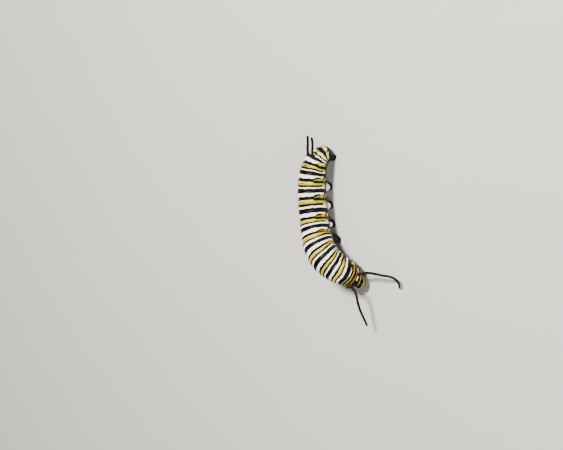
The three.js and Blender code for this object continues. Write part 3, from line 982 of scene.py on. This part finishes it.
def build_tentacle(name, segment, at, around_back, length, radius, swing, course, curl, curl_from,
                   rise, sink):
    u = segment + at
    left, back = directions(u)[1:]
    angle = math.radians(around_back)
    normal = back * math.cos(angle) + left * math.sin(angle)
    root = axis_at(u) + normal * body_radius(u)
    points = [root - normal * TENTACLE_BURIED, root]
    place = (np.arange(TENTACLE_STEPS) + 0.5) / TENTACLE_STEPS
    headings = swing + (course - swing) * step(0, SWING_PART, place) + curl * step(curl_from, 1, place)
    climbs = rise + (sink - rise) * step(0, SINK_PART, place)
    for heading, climb in np.radians(np.stack([headings, climbs], 1)):
        level = math.cos(climb)
        way = np.array([-level * math.cos(heading), -level * math.sin(heading), math.sin(climb)])
        points.append(points[-1] + way * length / TENTACLE_STEPS)
    path = through(points, TENTACLE_RINGS)
    run = np.linspace(-TENTACLE_BURIED, length, TENTACLE_RINGS)
    t = np.clip(run / length, 0, 1)
    radii = radius + (TENTACLE_TIP - radius) * t**0.7
    radii = radii + TENTACLE_FLARE * np.exp(-t * length / 0.22) + (0.05 if segment > 2 else 0.02)
    tip = np.clip((1 - t) * length / 0.32, 0, 1)
    radii = radii * np.sqrt(np.clip(1 - (1 - tip) ** 2, 0.02, 1))
    rng = np.random.default_rng(len(name) + int(length * 10))
    rough = 1 + TENTACLE_ROUGH * rng.uniform(-1, 1, (TENTACLE_RINGS, TENTACLE_SIDES))
    rings = path_rings(path, radii, TENTACLE_SIDES)
    rings = path[:, None] + (rings - path[:, None]) * rough[..., None]
    points, faces = closed_tube(rings)
    brown = with_ends(np.repeat(1 - step(0.15, 0.55, t), TENTACLE_SIDES), 1, 0)
    add_piece(name, points, faces, DARK_SKIN, [name], {"brown": brown})


for row in TENTACLES:
    build_tentacle(*row)

# Head
HEAD_NOD = 14  # extra dip of the head past the first segment
HEAD_OUT = 0.9  # head centre in front of the neck
HEAD_WIDE = 1.68
HEAD_HIGH = 1.74
HEAD_DEEP = 1.25
HEAD_POWER = 2.4  # how square the head is, seen from the side
HEAD_RINGS = 90
HEAD_SIDES = 120
# Yellow arches on the face: degrees from its centre where each starts and ends, and its hue
ARCHES = ((17, 24, 0.9), (36, 43, 1.0), (58, 64, 1.0), (82, 87, 1.0))
ARCH_SOFTNESS = 0.03
neck_forward, neck_left, neck_back = directions(0.0)
nod = math.radians(HEAD_NOD)
face_way = neck_forward * math.cos(nod) - neck_back * math.sin(nod)
crown_way = neck_back * math.cos(nod) + neck_forward * math.sin(nod)
HEAD_WAYS = (face_way, neck_left, crown_way)
HEAD_CENTRE = axis_at(0.0) + neck_forward * HEAD_OUT


def head_point(*place):
    """Points in mm in front of the head's centre, to its left and above it."""
    parts = [np.asarray(v, float)[..., None] * way for v, way in zip(place, HEAD_WAYS)]
    return HEAD_CENTRE + sum(parts)


def ball_rows(rows):
    """Places from -1 to 1 through a ball, closer together at its ends."""
    return np.cos(np.linspace(np.pi, 0, rows + 2)[1:-1])[:, None]


def build_head():
    t = ball_rows(HEAD_RINGS)
    angle = circle(HEAD_SIDES)
    wide = np.sqrt(1 - np.abs(t) ** HEAD_POWER)
    c = np.cos(angle)
    cleft = 1 - 0.07 * bump(from_back(angle), 0, 0.2) * step(-0.3, 0.5, t)
    jaw = np.where(c < 0, 1 - 0.1 * c * c, 1.0)
    y = HEAD_WIDE * wide * jaw * np.sin(angle)
    z = HEAD_HIGH * wide * cleft * c
    # Sutures of the frons: two fine grooves from the cleft to the jaws
    groove = bump(np.abs(y), 0.12 + 0.42 * np.clip((1.1 - z) / 2.2, 0, 1), 0.06) * step(0.2, 0.6, t)
    x = t * HEAD_DEEP - 0.05 * groove
    points, faces = closed_tube(head_point(x, y, z))
    # Arches of yellow on black, centred low on the face
    from_centre = np.hypot(y / HEAD_WIDE, (z + 0.9) / HEAD_HIGH)
    arch = np.degrees(np.arctan2(from_centre, (x + 1.1) / HEAD_DEEP))
    light = np.full(arch.shape, -1.0)
    hue = np.full(arch.shape, 0.9)
    for low, high, shade in ARCHES:
        light = np.maximum(light, np.minimum(arch - low, high - arch) * ARCH_SOFTNESS)
        hue = np.where((arch > low - 4) & (arch < high + 4), shade, hue)
    attributes = {
        "light": with_ends(np.clip(light, -1, 1), -1, -1),
        "hue": with_ends(hue, 0.9, 0.9),
    }
    add_piece("head", points, faces, HEAD_SHELL, ["head"], attributes)


def bead(name, middle, sizes, replaced, brown):
    """A small ball of shell, with its half sizes along the head's three directions."""
    t = ball_rows(24)[..., None]
    angle = circle(28)[None, :, None]
    ring = np.sqrt(1 - t**2)
    ways = [size * way for size, way in zip(sizes, HEAD_WAYS)]
    rings = middle + t * ways[2] + ring * np.cos(angle) * ways[0] + ring * np.sin(angle) * ways[1]
    points, faces = closed_tube(rings)
    add_piece(name, points, faces, HORN, replaced, {"brown": np.full(len(points), brown)})


# Antennae: course in mm from the head's centre, forward, outward and up, and the radii along it
ANTENNA = ((0.4, 0.95, -0.85), (0.55, 1.18, -1.15), (0.7, 1.4, -1.45), (0.82, 1.54, -1.7),
           (0.9, 1.6, -1.88))
ANTENNA_PARTS = (0, 0.45, 0.47, 0.72, 0.74, 0.95, 1)
ANTENNA_RADII = (0.29, 0.28, 0.2, 0.19, 0.12, 0.1, 0.03)
ANTENNA_RINGS = 50
ANTENNA_SIDES = 18


def build_antenna(word, side):
    path = through([head_point(x, side * y, z) for x, y, z in ANTENNA], ANTENNA_RINGS)
    t = np.linspace(0, 1, ANTENNA_RINGS)
    radii = np.interp(t, ANTENNA_PARTS, ANTENNA_RADII)
    points, faces = closed_tube(path_rings(path, radii, ANTENNA_SIDES))
    brown = with_ends(np.repeat(step(0.2, 0.6, t), ANTENNA_SIDES), 0, 1)
    name = f"antenna_{word}"
    add_piece(name, points, faces, HORN, [name], {"brown": brown})


# Eyes: five on an arc and one at its centre, set on the shell
EYE_SIZE = 0.09
EYE_ARC = 0.34
EYE_FRONT = 0.35
EYE_BELOW = 0.45


def build_eyes(word, side):
    for i in range(6):
        turn = math.radians(-60 + 48 * i)
        reach = EYE_ARC if i < 5 else 0.0
        x = EYE_FRONT + reach * math.cos(turn)
        z = reach * math.sin(turn) - EYE_BELOW
        level = math.sqrt(1 - abs(x / HEAD_DEEP) ** HEAD_POWER)
        y = HEAD_WIDE * level * math.sqrt(1 - (z / (HEAD_HIGH * level)) ** 2)
        bead(f"stemma_{word}_{i + 1}", head_point(x, side * y, z), [EYE_SIZE] * 3, (), 0.0)


build_head()
bead("labrum", head_point(0.72, 0, -1.62), (0.47, 0.59, 0.51), ["labrum"], 0.3)
for word, side in BOTH_SIDES:
    mandible = f"mandible_{word}"
    bead(mandible, head_point(0.35, side * 0.52, -1.92), (0.42, 0.38, 0.52), [mandible], 0.6)
    build_antenna(word, side)
    build_eyes(word, side)


# Spiracles: small dark ovals with an amber slit, behind the white band of their segment
SPIRACLE_SEGMENTS = (0, 3, 4, 5, 6, 7, 8, 9, 10)
FIRST_SPIRACLE = 0.55  # place along the first segment, which has no white band
SPIRACLE_ROUND = 86  # degrees from the middle of the back
SPIRACLE_SIDES = 24
# Rings from the rim to the slit: radius as a part of the size, lift off the skin, brownness
SPIRACLE_RINGS = ((1.3, -0.12, 0), (1.25, 0.02, 0), (1.0, 0.07, 0.1), (0.78, 0.05, 0.4),
                  (0.6, -0.01, 1), (0.2, -0.03, 1))


def build_spiracles():
    points, faces, brown = [], [], []
    angle = circle(SPIRACLE_SIDES)[:, None]
    for k in SPIRACLE_SEGMENTS:
        t = FIRST_SPIRACLE
        if k:
            white, pale = STRIPES[NAMES[k]][:2]
            t = (white[1] + pale[0]) / 2
        size = 0.17 if k < SPIRACLE_SEGMENTS[-1] else 0.21
        forward, left, back = directions(k + t)
        for side in (1, -1):
            theta = side * math.radians(SPIRACLE_ROUND)
            normal = math.cos(theta) * back + math.sin(theta) * left
            upward = np.cross(forward, normal)
            middle = surface(k + t, theta, -0.02)
            rings = []
            for r, lift, shade in SPIRACLE_RINGS:
                oval = 0.7 * np.cos(angle) * forward + np.sin(angle) * upward
                rings.append(middle + normal * lift + r * size * oval)
                brown += [shade] * SPIRACLE_SIDES
            brown += [0, 1]
            p, f = closed_tube(np.array(rings))
            faces += [[v + len(points) for v in face] for face in f]
            points += p.tolist()
    add_piece("spiracles", points, faces, HORN, (), {"brown": brown})


build_spiracles()


# Floor, lights and camera
FLOOR_HALF = 1.5  # metres
# Lamps: name, place and width in metres, power in watts and colour
LAMPS = (
    ("key", (0.19, -0.1, 0.39), 0.1, 5.8, (1.0, 0.95, 0.86)),
    ("fill", (-0.3, -0.38, 0.26), 0.4, 1.9, (1.0, 0.98, 0.94)),
    ("rim", (0.4, 0.1, 0.2), 0.3, 0.7, (1.0, 1.0, 1.0)),
)


def build_floor():
    mesh = bpy.data.meshes.new("floor")
    corners = [(x * FLOOR_HALF, y * FLOOR_HALF, 0) for x, y in ((-1, -1), (1, -1), (1, 1), (-1, 1))]
    mesh.from_pydata(corners, [], [(0, 1, 2, 3)])
    paint = Paint("floor")
    colour = paint.mix(paint.noise(30.0), FLOOR_DARK, FLOOR_LIGHT)
    mesh.materials.append(paint.finish(colour, 0.7))
    floor = bpy.data.objects.new("floor", mesh)
    bpy.context.scene.collection.objects.link(floor)


def add_area_light(name, place, size, power, colour):
    data = bpy.data.lights.new(name, "AREA")
    data.shape = "DISK"
    data.size = size
    data.energy = power
    data.color = colour
    light = bpy.data.objects.new(name, data)
    light.location = place
    light.rotation_euler = (-Vector(place)).to_track_quat("-Z", "Y").to_euler()
    bpy.context.scene.collection.objects.link(light)


def build_world():
    world = bpy.data.worlds.new("studio")
    world.use_nodes = True
    background = world.node_tree.nodes["Background"]
    background.inputs["Color"].default_value = (0.95, 0.96, 0.96, 1)
    background.inputs["Strength"].default_value = 0.2
    bpy.context.scene.world = world


def build_camera():
    e = math.radians(CAMERA_ELEVATION)
    roll = math.radians(CAMERA_ROLL)
    right = np.array([-math.sin(roll), -math.sin(e) * math.cos(roll), -math.cos(e) * math.cos(roll)])
    up = np.array([math.cos(roll), -math.sin(e) * math.sin(roll), -math.cos(e) * math.sin(roll)])
    back = np.array([0, -math.cos(e), math.sin(e)])
    middle = axis_at(MIDDLE)
    across = (PHOTO_SIZE[0] / 2 - MIDDLE_PIXEL[0]) / PIXELS_PER_MM
    down = (PHOTO_SIZE[1] / 2 - MIDDLE_PIXEL[1]) / PIXELS_PER_MM
    aim = middle + right * across - up * down
    distance = LENS / SENSOR * PHOTO_SIZE[0] / PIXELS_PER_MM
    eye = (aim + back * distance) * MM
    data = bpy.data.cameras.new("camera")
    data.lens = LENS
    data.sensor_width = SENSOR
    data.sensor_fit = "HORIZONTAL"
    data.clip_start = 0.01
    camera = bpy.data.objects.new("camera", data)
    matrix = np.eye(4)
    matrix[:3, :3] = np.stack([right, up, back], 1)
    matrix[:3, 3] = eye
    camera.matrix_world = Matrix(matrix.tolist())
    bpy.context.scene.collection.objects.link(camera)
    bpy.context.scene.camera = camera


build_floor()
for lamp in LAMPS:
    add_area_light(*lamp)
build_world()
build_camera()
